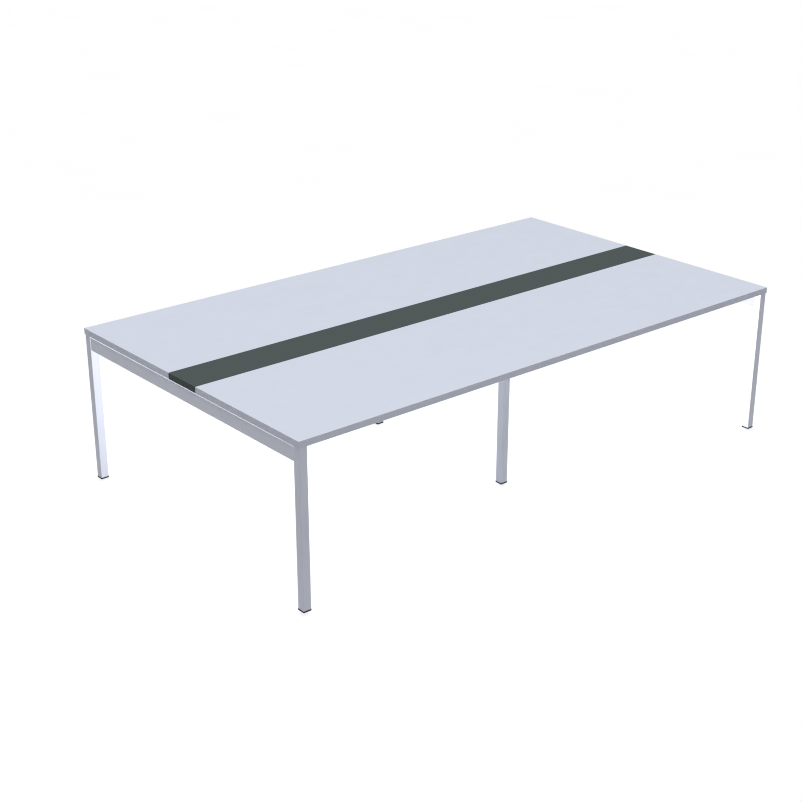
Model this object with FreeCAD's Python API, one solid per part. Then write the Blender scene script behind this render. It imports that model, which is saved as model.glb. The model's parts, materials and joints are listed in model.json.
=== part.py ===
import FreeCAD, Part
import os
from math import cos, sin, pi, sqrt
from FreeCAD import Vector as V

# ---------------------------------------------------------------- driving dimensions (mm)
LENGTH = 2800.0            # overall, along X
WIDTH = 1610.0             # overall, along Y
HEIGHT = 735.0             # floor to top surface
TOP_T = 28.0               # board thickness
STRIP_W = 200.0            # dark centre strip
STRIP_GAP = 1.0            # joint between strip and each top
BAND_T = 2.0               # edge band thickness
BAND_R = 0.9               # rounding of the band's outer edges
BAND_CORNER_R = 1.9        # rounding of the corners, seen from above
BAND_JOINT = 0.05          # glue line where two strips of band meet at a corner

LEG_S = 37.0               # square leg tube, outside
LEG_R = 2.0                # its corner radius
WALL = 2.0                 # wall of legs, rails and beams
LEG_INSET = 3.0            # leg face behind the edge of the top
MID_LEG_Y = 449.0          # centre line of the middle legs and of the beams
FOOT_T = 6.0               # thickness of a foot pad
FOOT_OUT = 1.5             # how far the pad stands out past the leg on each side

RAIL_H = 60.0              # rails and beams, height
RAIL_W = 30.0              # rails and beams, width
RAIL_R = 1.0               # their corner radius, tighter than the legs'
RAIL_SETBACK = 3.0         # rail face behind the leg face
TOP_GAP = 8.5              # clear gap between rails and the underside of the tops
BEAM_PLAY = 0.5            # assembly play at each beam end

SPIGOT_L = 100.0           # stub inside a beam end
SPIGOT_PLAY = 0.3          # play all round, inside the beam
SPIGOT_WALL = 4.0
BOLT_R = 4.0               # M8
BOLT_HEAD_R = 7.0
BOLT_HEAD_H = 4.4
BOLT_LEN = 14.0
BOLT_AT = (28.0, 72.0)     # from the root of the spigot

SCREW_R = 2.95             # M6
SCREW_HEAD_R = 6.0
SCREW_HEAD_H = 3.6
SCREW_LEN = 24.0
INSERT_R = 4.95
INSERT_L = 14.0
SPACER_R = 7.0
RAIL_SCREW_HOLE_R = 3.3
ACCESS_HOLE_R = 7.0

SPINDLE_R = 4.0            # M8 levelling spindle
SPINDLE_TOP = 40.0
SPINDLE_HEAD_R = 8.0
SPINDLE_HEAD_H = 2.8
FOOT_INSERT_L = 25.0
LEVEL_TRAVEL = 12.0        # how far a foot screws out

PLATE = (40.0, 320.0, 3.0)  # joining plate: along X, along Y, thickness
PLATE_X = (-1050.0, -350.0, 350.0, 1050.0)
PLATE_SCREW_Y = (-140.0, -118.0, -60.0, 60.0, 118.0, 140.0)
WOOD_SCREW_R = 1.95
WOOD_SCREW_L = 15.0

# ---------------------------------------------------------------- derived
UNDER = HEIGHT - TOP_T                    # underside of the boards
RAIL_TOP = UNDER - TOP_GAP
RAIL_BOT = RAIL_TOP - RAIL_H
HX, HY = LENGTH / 2, WIDTH / 2
LEG_X = HX - LEG_INSET - LEG_S / 2        # corner leg centre lines
LEG_Y = HY - LEG_INSET - LEG_S / 2
RAIL_X = HX - LEG_INSET - RAIL_SETBACK - RAIL_W / 2
RAIL_INNER_X = RAIL_X - RAIL_W / 2
RAIL_END_Y = LEG_Y - LEG_S / 2
STRIP_Y = STRIP_W / 2
TOP_IN_Y = STRIP_Y + STRIP_GAP            # inner edge of each top

LEGS = {
    "front_left": (-LEG_X, -LEG_Y), "front_mid": (0.0, -MID_LEG_Y), "front_right": (LEG_X, -LEG_Y),
    "rear_left": (-LEG_X, LEG_Y), "rear_mid": (0.0, MID_LEG_Y), "rear_right": (LEG_X, LEG_Y),
}

# screws up into the boards: along each end rail, each beam and the middle cross rail
END_RAIL_SCREW_Y = (-700.0, -280.0, -60.0, 60.0, 280.0, 700.0)
CROSS_SCREW_Y = (-280.0, -60.0, 60.0, 280.0)
BEAM_SCREW_X = (250.0, 700.0, 1150.0)
END_SCREWS = [(s * RAIL_X, y) for s in (-1, 1) for y in END_RAIL_SCREW_Y]
CROSS_SCREWS = [(0.0, y) for y in CROSS_SCREW_Y]
BEAM_SCREWS = [(sx * x, sy * MID_LEG_Y) for sx in (-1, 1) for sy in (-1, 1) for x in BEAM_SCREW_X]
TOP_SCREWS = END_SCREWS + CROSS_SCREWS + BEAM_SCREWS
PLATE_SCREWS = [(px + dx, y) for px in PLATE_X for y, dx in zip(PLATE_SCREW_Y, (-9, 9, 0, 0, 9, -9))]

os.makedirs("parts", exist_ok=True)
made = {}


def save(name, solids):
    solids = solids if isinstance(solids, list) else [solids]
    for s in solids:
        if not s.isValid() or len(s.Solids) != 1 or s.Volume <= 0:
            raise RuntimeError("%s: a piece is not one valid solid" % name)
    solids = [s.Solids[0] for s in solids]
    shape = solids[0] if len(solids) == 1 else Part.makeCompound(solids)
    shape.exportStep("parts/%s.step" % name)
    made[name] = shape


def box(x0, x1, y0, y1, z0, z1):
    return Part.makeBox(x1 - x0, y1 - y0, z1 - z0, V(x0, y0, z0))


def cyl(r, x, y, z0, z1):
    return Part.makeCylinder(r, z1 - z0, V(x, y, z0), V(0, 0, 1))


def cone(r0, r1, x, y, z0, z1):
    return Part.makeCone(r0, r1, z1 - z0, V(x, y, z0), V(0, 0, 1))


def edges_along(shape, axis):
    """straight edges that run along X, Y or Z"""
    out = []
    for e in shape.Edges:
        a, b = e.Vertexes[0].Point, e.Vertexes[-1].Point
        d = b - a
        if d.Length > 0 and abs(abs(d[axis]) - d.Length) < 1e-6:
            out.append(e)
    return out


def bar(x0, x1, y0, y1, z0, z1, axis, r):
    """solid bar with its four long edges rounded"""
    b = box(x0, x1, y0, y1, z0, z1)
    return b.makeFillet(r, edges_along(b, axis))


def tube(x0, x1, y0, y1, z0, z1, axis, r=LEG_R, wall=WALL):
    """rounded rectangular tube, open at both ends"""
    lo, hi = [x0, y0, z0], [x1, y1, z1]
    ilo = [v + wall for v in lo]
    ihi = [v - wall for v in hi]
    ilo[axis], ihi[axis] = lo[axis] - 1, hi[axis] + 1
    outer = bar(lo[0], hi[0], lo[1], hi[1], lo[2], hi[2], axis, r)
    inner = bar(ilo[0], ihi[0], ilo[1], ihi[1], ilo[2], ihi[2], axis, max(r - wall, 0.5))
    return outer.cut(inner)


def hexagon(af, x, y, z0, z1):
    rad = af / sqrt(3.0)
    pts = [V(x + rad * cos(pi / 3 * k), y + rad * sin(pi / 3 * k), z0) for k in range(6)]
    face = Part.Face(Part.makePolygon(pts + [pts[0]]))
    return face.extrude(V(0, 0, z1 - z0))


# ---------------------------------------------------------------- boards and their edge bands
def board(y0, y1):
    core = box(-HX + BAND_T, HX - BAND_T, y0 + BAND_T, y1 - BAND_T, UNDER, HEIGHT)
    for x, y in TOP_SCREWS:
        if y0 < y < y1:
            core = core.cut(cyl(INSERT_R + 0.05, x, y, UNDER - 1, UNDER + INSERT_L + 0.3))
    for x, y in PLATE_SCREWS:
        if y0 < y < y1:
            core = core.cut(cyl(WOOD_SCREW_R + 0.05, x, y, UNDER - 1, UNDER + WOOD_SCREW_L - 2.0))
    return core


def band(x0, x1, y0, y1, out_axis, out_sign):
    """one strip of edge band, its outward edges rounded; a strip along X covers the corners, so it is rounded round its ends too"""
    b = box(x0, x1, y0, y1, UNDER, HEIGHT)
    sides = (x0, x1) if out_axis == 0 else (y0, y1)
    back, face = sides if out_sign > 0 else sides[::-1]

    def level(e):
        return abs(e.Vertexes[0].Z - e.Vertexes[-1].Z) < 1e-6

    def on_face(e):
        return all(abs(v.Point[out_axis] - face) < 1e-6 for v in e.Vertexes)

    if out_axis == 0:
        return b.makeFillet(BAND_R, [e for e in b.Edges if level(e) and on_face(e)])
    b = b.makeFillet(BAND_CORNER_R, [e for e in b.Edges if on_face(e) and not level(e)])
    return b.makeFillet(BAND_R, [e for e in b.Edges if level(e) and abs(e.CenterOfMass[out_axis] - back) > 1e-6])


def bands(y0, y1):
    return [
        band(-HX, HX, y0, y0 + BAND_T, 1, -1),
        band(-HX, HX, y1 - BAND_T, y1, 1, 1),
        band(-HX, -HX + BAND_T, y0 + BAND_T + BAND_JOINT, y1 - BAND_T - BAND_JOINT, 0, -1),
        band(HX - BAND_T, HX, y0 + BAND_T + BAND_JOINT, y1 - BAND_T - BAND_JOINT, 0, 1),
    ]


for name, y0, y1 in (("front_top", -HY, -TOP_IN_Y), ("rear_top", TOP_IN_Y, HY), ("centre_strip", -STRIP_Y, STRIP_Y)):
    save(name, board(y0, y1))
    save(name + "_edging", bands(y0, y1))

# ---------------------------------------------------------------- legs, their inserts, top plates and feet
inner = LEG_S / 2 - WALL
inserts, plates = [], []
for name, (x, y) in LEGS.items():
    h = LEG_S / 2
    save(name + "_leg", tube(x - h, x + h, y - h, y + h, FOOT_T, UNDER, 2))

    # threaded plug in the lower end
    p = inner - 0.1
    plug = bar(x - p, x + p, y - p, y + p, FOOT_T, FOOT_T + FOOT_INSERT_L, 2, 0.8)
    plug = plug.cut(cyl(SPINDLE_R + 0.1, x, y, FOOT_T - 1, FOOT_T + FOOT_INSERT_L + 1))
    inserts.append(plug)

    # plate that closes the upper end
    p = inner - 0.05
    plates.append(bar(x - p, x + p, y - p, y + p, UNDER - 3.0, UNDER, 2, 0.8))

    # foot pad: square, both rims chamfered, with a pocket for the spindle's head
    q = h + FOOT_OUT
    pad = bar(x - q, x + q, y - q, y + q, 0, FOOT_T, 2, LEG_R + FOOT_OUT)
    for z, c in ((0.0, 0.8), (FOOT_T, 0.5)):
        rim = [e for e in pad.Edges if all(abs(v.Point.z - z) < 1e-6 for v in e.Vertexes)]
        pad = pad.makeChamfer(c, rim)
    pad = pad.cut(cyl(SPINDLE_HEAD_R + 0.1, x, y, FOOT_T - SPINDLE_HEAD_H - 0.2, FOOT_T + 1))
    save(name + "_foot_pad", pad)

    z0 = FOOT_T - SPINDLE_HEAD_H - 0.2
    head = cyl(SPINDLE_HEAD_R, x, y, z0, z0 + SPINDLE_HEAD_H)
    shank = cyl(SPINDLE_R, x, y, z0, SPINDLE_TOP)
    tip = [e for e in shank.Edges if all(abs(v.Point.z - SPINDLE_TOP) < 1e-6 for v in e.Vertexes)]
    save(name + "_foot_spindle", head.fuse(shank.makeChamfer(0.8, tip)).removeSplitter())
save("leg_foot_inserts", inserts)
save("leg_top_plates", plates)


# ---------------------------------------------------------------- rails, cross rail and beams
def drill(shape, points):
    """screw hole in the upper wall and an access hole for the driver in the lower wall"""
    for x, y in points:
        shape = shape.cut(cyl(RAIL_SCREW_HOLE_R, x, y, RAIL_TOP - WALL - 1, RAIL_TOP + 1))
        shape = shape.cut(cyl(ACCESS_HOLE_R, x, y, RAIL_BOT - 1, RAIL_BOT + WALL + 1))
    return shape


w = RAIL_W / 2
for name, s in (("left", -1), ("right", 1)):
    rail = tube(s * RAIL_X - w, s * RAIL_X + w, -RAIL_END_Y, RAIL_END_Y, RAIL_BOT, RAIL_TOP, 1, RAIL_R)
    save(name + "_end_rail", drill(rail, [p for p in END_SCREWS if p[0] * s > 0]))

cross_end = MID_LEG_Y - LEG_S / 2
save("mid_cross_rail", drill(tube(-w, w, -cross_end, cross_end, RAIL_BOT, RAIL_TOP, 1, RAIL_R), CROSS_SCREWS))

spigots, bolts = [], []
mid_z = (RAIL_TOP + RAIL_BOT) / 2
sw = RAIL_W / 2 - WALL - SPIGOT_PLAY
sh = RAIL_H / 2 - WALL - SPIGOT_PLAY
for yname, sy in (("front", -1), ("rear", 1)):
    for xname, sx in (("left", -1), ("right", 1)):
        y = sy * MID_LEG_Y
        outer_x, inner_x = sx * RAIL_INNER_X, sx * LEG_S / 2          # rail face, middle leg face
        a, b = sorted((outer_x - sx * BEAM_PLAY, inner_x + sx * BEAM_PLAY))
        beam = tube(a, b, y - w, y + w, RAIL_BOT, RAIL_TOP, 0, RAIL_R)
        beam = drill(beam, [p for p in BEAM_SCREWS if p[0] * sx > 0 and p[1] * sy > 0])
        for root, way in ((outer_x, -sx), (inner_x, sx)):
            c, d = sorted((root, root + way * SPIGOT_L))
            stub = tube(c, d, y - sw, y + sw, mid_z - sh, mid_z + sh, 0, 1.5, SPIGOT_WALL)
            for at in BOLT_AT:
                bx = root + way * at
                beam = beam.cut(cyl(BOLT_R + 0.2, bx, y, RAIL_BOT - 1, RAIL_BOT + WALL + 0.1))
                stub = stub.cut(cyl(BOLT_R + 0.05, bx, y, mid_z - sh - 1, mid_z - sh + SPIGOT_WALL + 1))
                # button head bolt, driven from below
                head = cyl(BOLT_HEAD_R, bx, y, RAIL_BOT - BOLT_HEAD_H, RAIL_BOT)
                rim = [e for e in head.Edges if all(abs(v.Point.z - (RAIL_BOT - BOLT_HEAD_H)) < 1e-6 for v in e.Vertexes)]
                head = head.makeFillet(2.6, rim)
                head = head.cut(hexagon(5.0, bx, y, RAIL_BOT - BOLT_HEAD_H - 1, RAIL_BOT - BOLT_HEAD_H + 2.4))
                bolts.append(head.fuse(cyl(BOLT_R, bx, y, RAIL_BOT, RAIL_BOT + BOLT_LEN)).removeSplitter())
            spigots.append(stub)
        save("%s_%s_beam" % (yname, xname), beam)
save("beam_spigots", spigots)
save("beam_bolts", bolts)

# ---------------------------------------------------------------- spacers, screws and inserts under the boards
spacers, screws, nuts = [], [], []
for x, y in TOP_SCREWS:
    sleeve = cyl(SPACER_R, x, y, RAIL_TOP, UNDER)
    sleeve = sleeve.makeChamfer(0.6, [e for e in sleeve.Edges if e.Curve.TypeId == "Part::GeomCircle"])
    spacers.append(sleeve.cut(cyl(RAIL_SCREW_HOLE_R, x, y, RAIL_TOP - 1, UNDER + 1)))
    seat = RAIL_TOP - WALL
    head = cyl(SCREW_HEAD_R, x, y, seat - SCREW_HEAD_H, seat)
    rim = [e for e in head.Edges if all(abs(v.Point.z - (seat - SCREW_HEAD_H)) < 1e-6 for v in e.Vertexes)]
    head = head.makeFillet(1.8, rim)
    head = head.cut(hexagon(4.0, x, y, seat - SCREW_HEAD_H - 1, seat - SCREW_HEAD_H + 2.0))
    screws.append(head.fuse(cyl(SCREW_R, x, y, seat, seat + SCREW_LEN)).removeSplitter())
    nut = cyl(INSERT_R, x, y, UNDER, UNDER + INSERT_L)
    nuts.append(nut.cut(cyl(SCREW_R + 0.05, x, y, UNDER - 1, UNDER + INSERT_L + 1)))
save("top_spacers", spacers)
save("top_screws", screws)
save("threaded_inserts", nuts)

# ---------------------------------------------------------------- plates across the joints between the boards
plates, screws = [], []
for px in PLATE_X:
    plate = bar(px - PLATE[0] / 2, px + PLATE[0] / 2, -PLATE[1] / 2, PLATE[1] / 2, UNDER - PLATE[2], UNDER, 2, 4.0)
    for x, y in PLATE_SCREWS:
        if abs(x - px) < PLATE[0] / 2:
            z = UNDER - PLATE[2]
            plate = plate.cut(cone(4.1, 2.0, x, y, z, z + 2.1)).cut(cyl(2.05, x, y, z - 1, UNDER + 1))
            head = cone(3.9, WOOD_SCREW_R, x, y, z + 0.1, z + 2.05)
            head = head.fuse(cyl(WOOD_SCREW_R, x, y, z + 2.05, z + WOOD_SCREW_L - 0.5)).removeSplitter()
            cross = box(x - 2.2, x + 2.2, y - 0.45, y + 0.45, z, z + 1.5).fuse(box(x - 0.45, x + 0.45, y - 2.2, y + 2.2, z, z + 1.5))
            screws.append(head.cut(cross))
    plates.append(plate)
save("joining_plates", plates)
save("joining_plate_screws", screws)

whole = Part.makeCompound(list(made.values())).BoundBox
print("%d nodes, %d solids" % (len(made), sum(len(s.Solids) for s in made.values())))
print("x %.1f..%.1f  y %.1f..%.1f  z %.1f..%.1f" % (whole.XMin, whole.XMax, whole.YMin, whole.YMax, whole.ZMin, whole.ZMax))
print("rails z %.1f..%.1f, legs at %s" % (RAIL_BOT, RAIL_TOP, LEGS))
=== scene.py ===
import bpy, bmesh, json, math
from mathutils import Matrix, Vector

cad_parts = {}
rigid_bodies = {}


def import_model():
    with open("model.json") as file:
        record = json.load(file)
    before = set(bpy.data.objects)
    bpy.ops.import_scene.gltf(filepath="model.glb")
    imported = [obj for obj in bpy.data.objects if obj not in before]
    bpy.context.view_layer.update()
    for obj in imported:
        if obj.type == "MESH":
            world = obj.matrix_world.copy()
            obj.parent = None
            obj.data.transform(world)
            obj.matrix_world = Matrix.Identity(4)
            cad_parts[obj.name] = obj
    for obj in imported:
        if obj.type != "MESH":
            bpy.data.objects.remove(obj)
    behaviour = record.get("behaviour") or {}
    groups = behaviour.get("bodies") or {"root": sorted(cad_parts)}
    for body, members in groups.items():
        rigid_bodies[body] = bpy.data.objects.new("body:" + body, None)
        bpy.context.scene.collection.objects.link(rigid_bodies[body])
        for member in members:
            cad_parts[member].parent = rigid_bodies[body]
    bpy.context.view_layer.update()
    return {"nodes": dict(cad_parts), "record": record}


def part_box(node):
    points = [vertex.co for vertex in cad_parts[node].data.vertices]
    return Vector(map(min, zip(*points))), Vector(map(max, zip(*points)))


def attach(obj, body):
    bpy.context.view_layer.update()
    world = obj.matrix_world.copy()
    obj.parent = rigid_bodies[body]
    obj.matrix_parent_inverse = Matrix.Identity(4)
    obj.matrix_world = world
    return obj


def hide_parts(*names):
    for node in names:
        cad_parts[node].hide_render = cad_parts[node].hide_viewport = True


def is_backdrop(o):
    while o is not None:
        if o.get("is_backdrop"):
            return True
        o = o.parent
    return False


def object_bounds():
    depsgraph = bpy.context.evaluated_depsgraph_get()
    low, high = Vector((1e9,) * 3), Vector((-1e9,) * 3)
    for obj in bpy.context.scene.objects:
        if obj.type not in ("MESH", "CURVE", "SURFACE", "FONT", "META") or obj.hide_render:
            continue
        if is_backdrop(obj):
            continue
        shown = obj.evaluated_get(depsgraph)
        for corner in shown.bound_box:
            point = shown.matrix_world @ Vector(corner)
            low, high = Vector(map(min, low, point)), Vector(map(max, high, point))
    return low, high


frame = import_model()
nodes = frame["nodes"]
scene = bpy.context.scene


# ------------------------------------------------------------------ small helpers for node materials
class Mat:
    """A material with one Principled shader and helpers that add textures in object coordinates, in metres."""

    def __init__(self, name):
        self.m = bpy.data.materials.new(name)
        self.m.use_nodes = True
        self.t = self.m.node_tree
        self.t.nodes.clear()
        self.out = self.t.nodes.new("ShaderNodeOutputMaterial")
        self.p = self.t.nodes.new("ShaderNodeBsdfPrincipled")
        self.t.links.new(self.p.outputs["BSDF"], self.out.inputs["Surface"])
        self.co = self.t.nodes.new("ShaderNodeTexCoord").outputs["Object"]

    def set(self, **values):
        for k, v in values.items():
            self.p.inputs[k.replace("_", " ")].default_value = v
        return self

    def link(self, a, b):
        self.t.links.new(a, b)

    def stretch(self, x, y, z, turn=0.0):
        n = self.t.nodes.new("ShaderNodeMapping")
        n.inputs["Scale"].default_value = (x, y, z)
        n.inputs["Rotation"].default_value = (0.0, 0.0, math.radians(turn))
        self.link(self.co, n.inputs["Vector"])
        return n.outputs["Vector"]

    def noise(self, scale, detail=3.0, rough=0.5, distort=0.0, vector=None):
        n = self.t.nodes.new("ShaderNodeTexNoise")
        n.inputs["Scale"].default_value = scale
        n.inputs["Detail"].default_value = detail
        n.inputs["Roughness"].default_value = rough
        n.inputs["Distortion"].default_value = distort
        self.link(vector or self.co, n.inputs["Vector"])
        return n.outputs["Fac"]

    def voronoi(self, scale, feature="F1", vector=None):
        n = self.t.nodes.new("ShaderNodeTexVoronoi")
        n.feature = feature
        n.inputs["Scale"].default_value = scale
        self.link(vector or self.co, n.inputs["Vector"])
        return n.outputs["Distance"]

    def ramp(self, fac, *stops, smooth=False):
        n = self.t.nodes.new("ShaderNodeValToRGB")
        n.color_ramp.interpolation = "EASE" if smooth else "LINEAR"
        e = n.color_ramp.elements
        while len(e) < len(stops):
            e.new(0.5)
        for el, (pos, col) in zip(e, stops):
            el.position = pos
            el.color = (col, col, col, 1) if isinstance(col, (int, float)) else (*col, 1)
        self.link(fac, n.inputs["Fac"])
        return n.outputs["Color"]

    def range(self, value, a, b, lo, hi):
        n = self.t.nodes.new("ShaderNodeMapRange")
        n.clamp = True
        for k, v in (("From Min", a), ("From Max", b), ("To Min", lo), ("To Max", hi)):
            n.inputs[k].default_value = v
        self.link(value, n.inputs["Value"])
        return n.outputs["Result"]

    def math(self, op, a, b=None, c=None):
        n = self.t.nodes.new("ShaderNodeMath")
        n.operation = op
        for i, v in enumerate((a, b, c)):
            if v is None:
                continue
            if isinstance(v, (int, float)):
                n.inputs[i].default_value = v
            else:
                self.link(v, n.inputs[i])
        return n.outputs[0]

    def mix(self, fac, a, b, blend="MIX"):
        n = self.t.nodes.new("ShaderNodeMix")
        n.data_type = "RGBA"
        n.blend_type = blend
        for socket, v in ((n.inputs[0], fac), (n.inputs[6], a), (n.inputs[7], b)):
            if isinstance(v, (int, float)):
                socket.default_value = v
            elif isinstance(v, tuple):
                socket.default_value = (*v, 1)
            else:
                self.link(v, socket)
        return n.outputs[2]

    def xyz(self):
        n = self.t.nodes.new("ShaderNodeSeparateXYZ")
        self.link(self.co, n.inputs[0])
        return n.outputs

    def edges(self, radius):
        """0 on flat surfaces, up to 1 at edges"""
        b = self.t.nodes.new("ShaderNodeBevel")
        b.samples = 4
        b.inputs["Radius"].default_value = radius
        g = self.t.nodes.new("ShaderNodeNewGeometry")
        d = self.t.nodes.new("ShaderNodeVectorMath")
        d.operation = "DOT_PRODUCT"
        self.link(b.outputs["Normal"], d.inputs[0])
        self.link(g.outputs["Normal"], d.inputs[1])
        return self.range(d.outputs["Value"], 1.0, 0.75, 0.0, 1.0)

    def rounding(self):
        """0 on faces square to the axes, up to 1 half way round a rounded corner"""
        g = self.t.nodes.new("ShaderNodeNewGeometry")
        a = self.t.nodes.new("ShaderNodeVectorMath")
        a.operation = "ABSOLUTE"
        self.link(g.outputs["Normal"], a.inputs[0])
        n = self.t.nodes.new("ShaderNodeSeparateXYZ")
        self.link(a.outputs["Vector"], n.inputs[0])
        square = self.math("MAXIMUM", self.math("MAXIMUM", n.outputs[0], n.outputs[1]), n.outputs[2])
        return self.range(square, 0.995, 0.75, 0.0, 1.0)

    def bump(self, height, distance, strength=1.0, under=None):
        n = self.t.nodes.new("ShaderNodeBump")
        n.inputs["Distance"].default_value = distance
        n.inputs["Strength"].default_value = strength
        self.link(height, n.inputs["Height"])
        if under is not None:
            self.link(under, n.inputs["Normal"])
        return n.outputs["Normal"]

    def done(self, colour=None, roughness=None, normal=None):
        for key, v in (("Base Color", colour), ("Roughness", roughness), ("Normal", normal)):
            if v is not None:
                self.link(v, self.p.inputs[key])
        return self.m


def tint(c, k):
    return tuple(min(1.0, x * k) for x in c)


# ------------------------------------------------------------------ finishes
TOP = (0.650, 0.687, 0.790)
# the pale edge band takes the top's colour darkened by about a fifth: painted shade standing in for the shade on the
# vertical edges
PALE_BAND_IN_PAINTED_SHADE = (0.510, 0.535, 0.618)
PAINT = (0.581, 0.606, 0.693)
DARK = (0.071, 0.088, 0.088)
# the dark edge band takes the strip's colour darkened a little: painted shade standing in for the shade on the strip's
# vertical edges
DARK_BAND_IN_PAINTED_SHADE = (0.060, 0.076, 0.076)
BACKING = (0.640, 0.665, 0.740)


def board_finish(name, base, spread, rough, gloss=0.35, wiped=0.055, backed=None):
    """faced board: fine pearl emboss, faint cloudiness of the printed paper, wiped sheen, hairline scratches; backed names a node whose underside has a plain pale backing sheet"""
    m = Mat(name)
    fine = m.noise(1500.0, 3.0, 0.6)
    cloud = m.noise(5.0, 5.0, 0.55, 0.4)
    colour = m.mix(m.range(fine, 0.3, 0.7, 0.0, 1.0), tint(base, 1 - spread), tint(base, 1 + spread))
    colour = m.mix(m.range(cloud, 0.3, 0.7, 0.0, 0.5), colour, tint(base, 1 - 0.7 * spread))
    if backed:
        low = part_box(backed)[0][2]
        sheet = m.mix(m.range(fine, 0.3, 0.7, 0.0, 1.0), tint(BACKING, 0.985), tint(BACKING, 1.015))
        colour = m.mix(m.range(m.xyz()[2], low + 0.0003, low + 0.0006, 1.0, 0.0), colour, sheet)
    smear = m.noise(11.0, 6.0, 0.6, 1.5, m.stretch(0.6, 1.6, 1.0))
    r = m.math("ADD", m.range(smear, 0.35, 0.7, rough - wiped, rough + wiped), m.range(fine, 0.2, 0.8, -0.03, 0.03))
    # hairlines: very long thin cells of noise, kept in a few patches, crossing at two angles
    lines = None
    for turn, reach in ((27.0, 1.0), (-64.0, 1.3)):
        hair = m.range(m.noise(1.0, 1.0, 0.5, 0.15, m.stretch(7.0 * reach, 1100.0 * reach, 1.0, turn)), 0.70, 0.75, 0.0, 1.0)
        hair = m.math("MULTIPLY", hair, m.range(m.noise(3.1 * reach, 2.0), 0.52, 0.66, 0.0, 1.0))
        lines = hair if lines is None else m.math("MAXIMUM", lines, hair)
    r = m.math("ADD", r, m.math("MULTIPLY", lines, 0.09))
    pearl = m.noise(760.0, 2.0, 0.55)
    n = m.bump(pearl, 0.00011, 0.5, m.bump(fine, 0.00003, 0.4))
    m.set(Specular_IOR_Level=gloss)
    return m.done(colour, r, n)


def band_finish(name, base, spread, rough):
    """extruded edge band: fine lines along the strip, polished by the trimming scraper, with a faint chatter across"""
    m = Mat(name)
    lines = m.noise(1.0, 3.0, 0.6, 0.0, m.stretch(6.0, 6.0, 2200.0))
    fine = m.noise(1800.0, 2.0, 0.5)
    chatter = m.noise(1.0, 1.0, 0.5, 0.0, m.stretch(420.0, 420.0, 9.0))
    colour = m.mix(m.range(lines, 0.3, 0.7, 0.0, 1.0), tint(base, 1 - spread), tint(base, 1 + spread))
    colour = m.mix(m.range(fine, 0.3, 0.7, 0.0, 0.4), colour, tint(base, 1 - spread))
    r = m.math("ADD", m.range(lines, 0.3, 0.7, rough - 0.05, rough + 0.06), m.range(chatter, 0.3, 0.7, -0.02, 0.03))
    n = m.bump(lines, 0.00003, 0.4, m.bump(fine, 0.00004, 0.4, m.bump(chatter, 0.00003, 0.25)))
    m.set(Specular_IOR_Level=0.4)
    return m.done(colour, r, n)


def paint_finish(name, corners=True):
    """powder coat: orange peel, fine speckle, slight change of tone, painted shade darkening the rounded corners, a few
    scuffs low on the legs
    """
    m = Mat(name)
    peel = m.noise(480.0, 1.5, 0.45)
    grit = m.noise(2600.0, 2.0, 0.6)
    tone = m.noise(7.0, 4.0, 0.5)
    colour = m.mix(m.range(tone, 0.3, 0.7, 0.0, 1.0), tint(PAINT, 0.985), tint(PAINT, 1.015))
    colour = m.mix(m.range(grit, 0.35, 0.65, 0.0, 0.5), colour, tint(PAINT, 0.96))
    if corners:
        # painted shade: the rounded corners are drawn darker, standing in for the shade their turned faces take
        corner_painted_shade = m.math("MULTIPLY", m.rounding(), m.range(tone, 0.3, 0.7, 0.8, 1.0))
        colour = m.mix(corner_painted_shade, colour, tint(PAINT, 0.82))
    z = m.xyz()[2]
    low = m.range(z, 0.005, 0.16, 1.0, 0.0)
    scuff = m.noise(90.0, 5.0, 0.7, 0.8, m.stretch(1.0, 1.0, 0.22))
    scuff = m.math("MULTIPLY", low, m.range(scuff, 0.60, 0.72, 0.0, 0.35))
    colour = m.mix(scuff, colour, tint(PAINT, 0.62))
    r = m.math("ADD", m.range(tone, 0.3, 0.7, 0.36, 0.44), m.math("MULTIPLY", scuff, 0.35))
    n = m.bump(peel, 0.00016, 0.6, m.bump(grit, 0.00003, 0.4))
    m.set(Specular_IOR_Level=0.45)
    return m.done(colour, r, n)


def zinc_finish(name):
    m = Mat(name)
    spangle = m.voronoi(420.0)
    fine = m.noise(1900.0, 3.0, 0.6)
    colour = m.mix(m.range(spangle, 0.0, 0.8, 0.0, 1.0), (0.56, 0.57, 0.58), (0.66, 0.665, 0.67))
    colour = m.mix(m.range(m.noise(60.0, 3.0), 0.45, 0.7, 0.0, 0.4), colour, (0.60, 0.58, 0.52))
    r = m.range(fine, 0.25, 0.75, 0.26, 0.42)
    m.set(Metallic=1.0)
    return m.done(colour, r, m.bump(fine, 0.00002, 0.4))


def plastic_finish(name):
    m = Mat(name)
    grain = m.noise(1300.0, 3.0, 0.6)
    wear = m.noise(140.0, 5.0, 0.65)
    colour = m.mix(m.range(wear, 0.45, 0.75, 0.0, 1.0), (0.0085, 0.0085, 0.009), (0.016, 0.016, 0.0165))
    # edges drawn lighter: partly wear, partly a painted highlight along the edges
    colour = m.mix(m.math("MULTIPLY", m.edges(0.0006), 0.5), colour, (0.03, 0.03, 0.031))
    r = m.range(wear, 0.3, 0.7, 0.46, 0.62)
    m.set(Specular_IOR_Level=0.3)
    return m.done(colour, r, m.bump(grain, 0.00012, 0.6))


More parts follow.
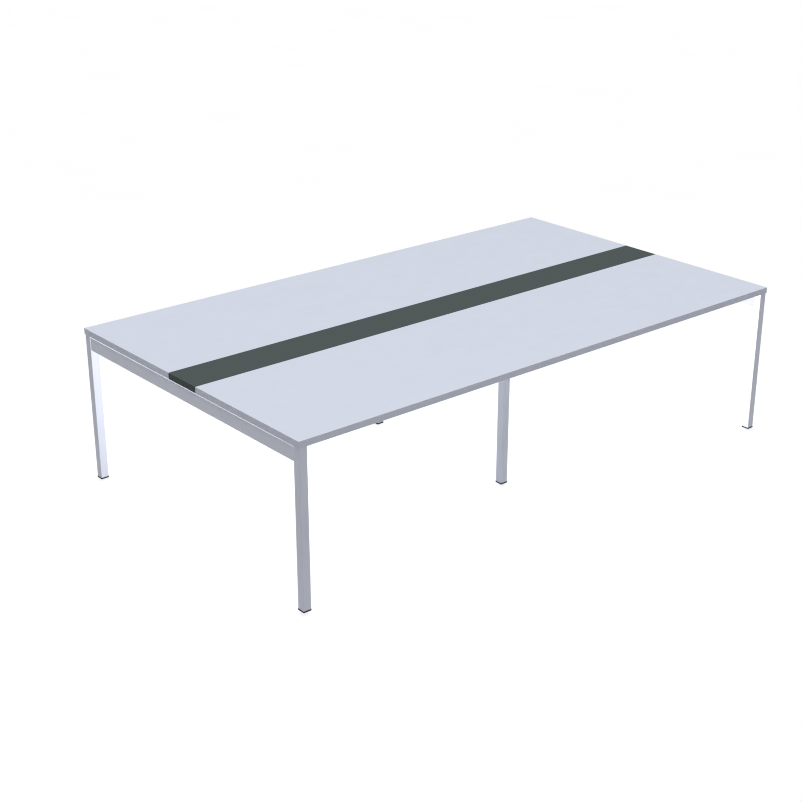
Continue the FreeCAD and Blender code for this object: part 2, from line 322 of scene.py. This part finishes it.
finish = {
    "pale_board": board_finish("pale_board", TOP, 0.012, 0.50),
    "edge_band_pale": band_finish("edge_band_pale", PALE_BAND_IN_PAINTED_SHADE, 0.012, 0.42),
    "dark_board": board_finish("dark_board", DARK, 0.045, 0.52, 0.22, 0.025, "centre_strip"),
    "edge_band_dark": band_finish("edge_band_dark", DARK_BAND_IN_PAINTED_SHADE, 0.04, 0.45),
    "frame_paint": paint_finish("frame_paint"),
    "weld_paint": paint_finish("frame_paint_on_welds", False),
    "zinc_steel": zinc_finish("zinc_steel"),
    "black_plastic": plastic_finish("black_plastic"),
}
for part in frame["record"]["subparts"]:
    o = nodes[part["node"]]
    o.data.materials.clear()
    o.data.materials.append(finish[part["material_slot"]])


# ------------------------------------------------------------------ pieces with more shape than the solids carry
MM = 0.001
pieces = []


def piece(name, verts, faces, body, slot, sharp=40, look=None):
    """a mesh given in millimetres, smooth but for edges sharper than the angle"""
    me = bpy.data.meshes.new(name)
    me.from_pydata([(x * MM, y * MM, z * MM) for x, y, z in verts], [], faces)
    me.polygons.foreach_set("use_smooth", [True] * len(me.polygons))
    me.set_sharp_from_angle(angle=math.radians(sharp))
    me.materials.append(finish[look or slot])
    me.update()
    o = bpy.data.objects.new(name, me)
    scene.collection.objects.link(o)
    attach(o, body)
    pieces.append(name)
    return o


def lathe_faces(rings, seg, first=0):
    """quads between rings of seg vertices"""
    f = []
    for i in range(rings - 1):
        a, b = first + i * seg, first + (i + 1) * seg
        for j in range(seg):
            k = (j + 1) % seg
            f.append((a + j, a + k, b + k, b + j))
    return f


# levelling spindles: round head sunk in the pad, plain neck, rolled M8 thread, chamfered tip
PITCH, CREST, ROOT, SEG, PER_TURN = 1.25, 4.0, 3.25, 36, 10
for foot in ("front_left", "front_mid", "front_right", "rear_left", "rear_mid", "rear_right"):
    lo, hi = (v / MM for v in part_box(foot + "_foot_spindle"))
    cx, cy = (lo.x + hi.x) / 2, (lo.y + hi.y) / 2
    head = (hi.x - lo.x) / 2
    z0, z1 = lo.z, hi.z
    zh = z0 + 2.8
    rings = [(z0, head - 0.4), (z0 + 0.4, head), (zh - 0.4, head), (zh, head - 0.4), (zh, 4.3), (zh + 0.35, 3.75), (zh + 1.9, 3.7)]
    start = zh + 2.0
    steps = int((z1 - start) / (PITCH / PER_TURN))
    verts = [(cx, cy, z0)]
    for z, r in rings:
        verts += [(cx + r * math.cos(2 * math.pi * j / SEG), cy + r * math.sin(2 * math.pi * j / SEG), z) for j in range(SEG)]
    for i in range(steps + 1):
        z = start + (z1 - start) * i / steps
        for j in range(SEG):
            d = abs(((z - start) / PITCH - j / SEG) % 1.0 - 0.5) * 2.0          # 0 on the crest, 1 in the root
            t = min(1.0, max(0.0, (d - 0.14) / 0.60))
            r = CREST + (ROOT - CREST) * t
            runout = min(1.0, (z - start) / (1.6 * PITCH))
            r = 3.7 + (r - 3.7) * runout
            r = min(r, ROOT - 0.15 + (z1 - z) * 1.1)
            verts.append((cx + r * math.cos(2 * math.pi * j / SEG), cy + r * math.sin(2 * math.pi * j / SEG), z))
    n = len(rings) + steps + 1
    faces = lathe_faces(n, SEG, 1)
    faces += [(0, 1 + (j + 1) % SEG, 1 + j) for j in range(SEG)]
    top = len(verts)
    verts.append((cx, cy, z1))
    last = 1 + (n - 1) * SEG
    faces += [(top, last + j, last + (j + 1) % SEG) for j in range(SEG)]
    o = piece(foot + "_threaded_spindle", verts, faces, foot + "_foot", "zinc_steel")
    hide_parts(foot + "_foot_spindle")


def bead(path, d, y, size, verts, faces):
    """a weld bead along path, a list of (x, z, nx, nz, leg length), on the joint at y; d points along the rail, away from the leg"""
    sunk, arc = 0.35, 6
    length = [0.0]
    for a, b in zip(path, path[1:]):
        length.append(length[-1] + math.hypot(b[0] - a[0], b[1] - a[1]))
    # outer toes travel further round the corners, so ripples are counted along the rail's own surface
    first, per = len(verts), arc + 3
    for (x, z, nx, nz, leg), s in zip(path, length):
        end = min(1.0, (s + 0.15) / 3.0, (length[-1] - s + 0.15) / 3.0)
        swell = 1.0 + 0.05 * math.sin(s * 0.31) + 0.04 * math.sin(s * 0.83 + 1.3)
        k = size * leg * swell * math.sqrt(end)
        prof = [(-sunk, -sunk), (k * 0.98, -sunk)]
        for i in range(arc):
            t = i / (arc - 1)
            lag = (2 * t - 1) ** 2
            ripple = 0.5 + 0.5 * math.cos(2 * math.pi * (s / 2.3) - 1.9 * lag)
            bulge = 1.0 + 0.16 * math.sin(math.pi * t) * (1.0 - 0.55 * ripple)
            a = math.cos(t * math.pi / 2) ** 1.25 * k * bulge
            b = math.sin(t * math.pi / 2) ** 1.25 * k * bulge
            prof.append((a, b))
        prof.append((-sunk, k * 0.98))
        for a, b in prof:
            verts.append((x + nx * a, y + d * b, z + nz * a))
    m = len(path)
    flip = d < 0
    for i in range(m - 1):
        for j in range(per):
            q = (first + i * per + j, first + i * per + (j + 1) % per, first + (i + 1) * per + (j + 1) % per, first + (i + 1) * per + j)
            faces.append(q if flip else q[::-1])
    cap = tuple(first + j for j in range(per))
    faces.append(cap[::-1] if flip else cap)
    cap = tuple(first + (m - 1) * per + j for j in range(per))
    faces.append(cap if flip else cap[::-1])


def around(x0, x1, z0, z1, r, sides, step=0.38):
    """points round a rounded rectangle from its upper outer corner: top, far side, bottom and, where asked, the near side and a lap over the start"""
    out = []

    def run(ax, az, bx, bz, nx, nz, leg):
        n = max(1, int(math.hypot(bx - ax, bz - az) / step))
        out.extend((ax + (bx - ax) * i / n, az + (bz - az) * i / n, nx, nz, leg) for i in range(n))

    def turn(px, pz, a0, a1, l0, l1):
        n = 6
        for i in range(n):
            t = i / n
            a = math.radians(a0 + (a1 - a0) * t)
            out.append((px + r * math.cos(a), pz + r * math.sin(a), math.cos(a), math.sin(a), l0 + (l1 - l0) * t))

    top, far, bottom, near = sides
    run(x0 + r, z1, x1 - r, z1, 0, 1, top)
    turn(x1 - r, z1 - r, 90, 0, top, far)
    run(x1, z1 - r, x1, z0 + r, 1, 0, far)
    turn(x1 - r, z0 + r, 0, -90, far, bottom)
    run(x1 - r, z0, x0 + r, z0, 0, -1, bottom)
    if near:
        turn(x0 + r, z0 + r, -90, -180, bottom, near)
        run(x0, z0 + r, x0, z1 - r, -1, 0, near)
        turn(x0 + r, z1 - r, 180, 90, near, top)
        run(x0 + r, z1, x0 + r + 5.0, z1, 0, 1, top)
    return out


# painted fillet welds where rails meet legs: the end rails are welded on the three sides that face away from view, the cross rail all round
for rail, near in (("left_end_rail", 0.0), ("right_end_rail", 0.0), ("mid_cross_rail", 1.2)):
    lo, hi = (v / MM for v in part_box(rail))
    mirror = -1 if rail == "right_end_rail" else 1
    verts, faces = [], []
    for y, d in ((lo.y, 1), (hi.y, -1)):
        va, fa = [], []
        if mirror > 0:
            path = around(lo.x, hi.x, lo.z, hi.z, 1.0, (2.2, 1.6 if not near else 1.2, 2.2, near))
        else:
            path = [(-x, z, -nx, nz, leg) for x, z, nx, nz, leg in around(-hi.x, -lo.x, lo.z, hi.z, 1.0, (2.2, 1.6, 2.2, near))]
        bead(path, d, y, 1.0, va, fa)
        if mirror < 0:
            fa = [f[::-1] for f in fa]
        faces += [tuple(i + len(verts) for i in f) for f in fa]
        verts += va
    piece(rail + "_welds", verts, faces, "table", "frame_paint", 70, "weld_paint")


# ------------------------------------------------------------------ floor, backdrop and light
def collection(name, objects):
    c = bpy.data.collections.new(name)
    for o in objects:
        c.objects.link(o)
    return c


def plain_mesh(name, verts, faces):
    me = bpy.data.meshes.new(name)
    me.from_pydata(verts, [], faces)
    o = bpy.data.objects.new(name, me)
    scene.collection.objects.link(o)
    return o


# the floor lies one foot travel below the soles, so that a foot that is screwed out stands on it and isn't buried in it
S, DOWN = 60.0, -0.0121
floor = plain_mesh("floor", [(-S, -S, DOWN), (S, -S, DOWN), (S, S, DOWN), (-S, S, DOWN)], [(0, 1, 2, 3)])
m = Mat("floor_paint")
tone = m.noise(1.2, 3.0)
m.set(Specular_IOR_Level=0.0)
floor.data.materials.append(m.done(m.mix(m.range(tone, 0.3, 0.7, 0.0, 1.0), (0.895, 0.895, 0.895), (0.905, 0.905, 0.905)), m.range(tone, 0.3, 0.7, 0.8, 0.9)))
floor.visible_glossy = False
floor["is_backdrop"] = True

# a white dome behind everything, seen by the eye only, so the horizon is as pale as the floor
bm = bmesh.new()
bmesh.ops.create_uvsphere(bm, u_segments=48, v_segments=24, radius=80.0)
me = bpy.data.meshes.new("backdrop")
bm.to_mesh(me)
bm.free()
dome = bpy.data.objects.new("backdrop", me)
scene.collection.objects.link(dome)
dome_mat = bpy.data.materials.new("backdrop_white")
dome_mat.use_nodes = True
dome_mat.node_tree.nodes.clear()
glow = dome_mat.node_tree.nodes.new("ShaderNodeEmission")
glow.inputs["Strength"].default_value = 1.0
glow.inputs["Color"].default_value = (1, 1, 1, 1)
dome_mat.node_tree.links.new(glow.outputs[0], dome_mat.node_tree.nodes.new("ShaderNodeOutputMaterial").inputs["Surface"])
me.materials.append(dome_mat)
dome.visible_diffuse = dome.visible_glossy = dome.visible_transmission = dome.visible_volume_scatter = dome.visible_shadow = False
dome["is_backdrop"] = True

world = bpy.data.worlds.new("studio")
scene.world = world
world.use_nodes = True
world.node_tree.nodes["Background"].inputs["Color"].default_value = (1, 1, 1, 1)
world.node_tree.nodes["Background"].inputs["Strength"].default_value = 0.10
world.cycles_visibility.diffuse = False


def sun(name, strength, angle, direction=(0, 0, -1)):
    d = bpy.data.lights.new(name, "SUN")
    d.energy = strength
    d.angle = math.radians(angle)
    o = bpy.data.objects.new(name, d)
    o.rotation_mode = "QUATERNION"
    o.rotation_quaternion = Vector(direction).to_track_quat("-Z", "Y")
    scene.collection.objects.link(o)
    return o


def point(name, where, power, radius):
    d = bpy.data.lights.new(name, "POINT")
    d.energy = power
    d.shadow_soft_size = radius
    o = bpy.data.objects.new(name, d)
    o.location = where
    o.visible_camera = False
    scene.collection.objects.link(o)
    return o


only_floor = collection("only_floor", [floor])
not_floor = collection("not_floor", [floor])
not_floor.collection_objects[0].light_linking.link_state = "EXCLUDE"

# overhead softbox and a faint even sky on the object, and as much light on the floor, mostly without the object's shadow
key = sun("overhead", 0.965 * math.pi, 50)
key.light_linking.receiver_collection = not_floor
sky = sun("sky", 0.10 * math.pi, 180)
sky.light_linking.receiver_collection = not_floor
sky.visible_glossy = False
wash = sun("floor_wash", 0.91 * math.pi, 50)
wash.light_linking.receiver_collection = only_floor
wash.light_linking.blocker_collection = only_floor
soft = sun("floor_shadow", 0.20 * math.pi, 50)
soft.light_linking.receiver_collection = only_floor
# the faint shadow is that of the boards and the rails under them
overhead = ("_top", "_strip", "_edging", "_rail", "_beam")
soft.light_linking.blocker_collection = collection("floor_shadow_by", [o for n, o in nodes.items() if n.endswith(overhead)])


def fill_only(light, names):
    """a fill light that reaches only the named nodes, and that only the floor holds back"""
    light.light_linking.receiver_collection = collection(light.name + "_on", [bpy.data.objects[n] if n in pieces else nodes[n] for n in names])
    light.light_linking.blocker_collection = only_floor


# low fills: the inner faces of each end's legs, the middle legs, and the upper faces of the end rails; a node takes one fill at most
fill_only(point("left_fill", (-1.15, 0.0, 0.41), 20.0, 0.15), ("front_left_leg", "rear_left_leg", "left_end_rail_welds"))
fill_only(point("right_fill", (1.15, 0.0, 0.41), 20.0, 0.15), ("rear_right_leg", "right_end_rail_welds"))
fill_only(point("front_right_fill", (-0.50, 0.0, 0.74), 235.0, 0.15), ("front_right_leg",))
for name, side in (("front", 1.0), ("rear", -1.0)):
    low = sun(name + "_mid_fill", 0.13 * math.pi, 20, (0.46 * side, 0.89 * side, 0.0))
    low.data.color = (1.0, 0.97, 0.68)
    fill_only(low, (name + "_mid_leg",))
left_slit = point("left_rail_fill", (-1.58, 2.2, 5.2), 843.0, 0.63)
right_slit = sun("right_rail_fill", 1.26 * math.pi, 16, (0.715, 0.0, -0.70))
for slit, rail in ((left_slit, "left_end_rail"), (right_slit, "right_end_rail")):
    slit.data.color = (1.0, 0.985, 0.90)
    fill_only(slit, (rail,))

# bright metal under the table mirrors the pale floor: a wide soft light from below, on the plated pieces only, held back by nothing
under = sun("plating_fill", 0.85 * math.pi, 160, (0.0, 0.0, 1.0))
plated = [nodes[p["node"]] for p in frame["record"]["subparts"] if p["material_slot"] == "zinc_steel"]
under.light_linking.receiver_collection = collection("plating_fill_on", plated + [bpy.data.objects[n] for n in pieces if n.endswith("_spindle")])
under.light_linking.blocker_collection = collection("plating_fill_by", [dome])

# ------------------------------------------------------------------ camera
cam = bpy.data.objects.new("camera", bpy.data.cameras.new("camera"))
cam.data.sensor_width = 36.0
cam.data.lens = 1496.9 / 802 * 36.0
cam.data.clip_start, cam.data.clip_end = 0.05, 200.0
yaw, pitch = math.radians(49.933), math.radians(-22.82)
ahead = Vector((math.cos(pitch) * math.cos(yaw), math.cos(pitch) * math.sin(yaw), math.sin(pitch)))
cam.location = (-4.3635, -4.9174, 3.0269)
cam.rotation_mode = "QUATERNION"
cam.rotation_quaternion = ahead.to_track_quat("-Z", "Y")
scene.collection.objects.link(cam)
scene.camera = cam

scene.cycles.filter_width = 1.1
scene.view_settings.view_transform = "Standard"
scene.view_settings.look = "None"
scene.view_settings.exposure = 0.0
scene.view_settings.gamma = 1.0

lo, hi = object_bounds()
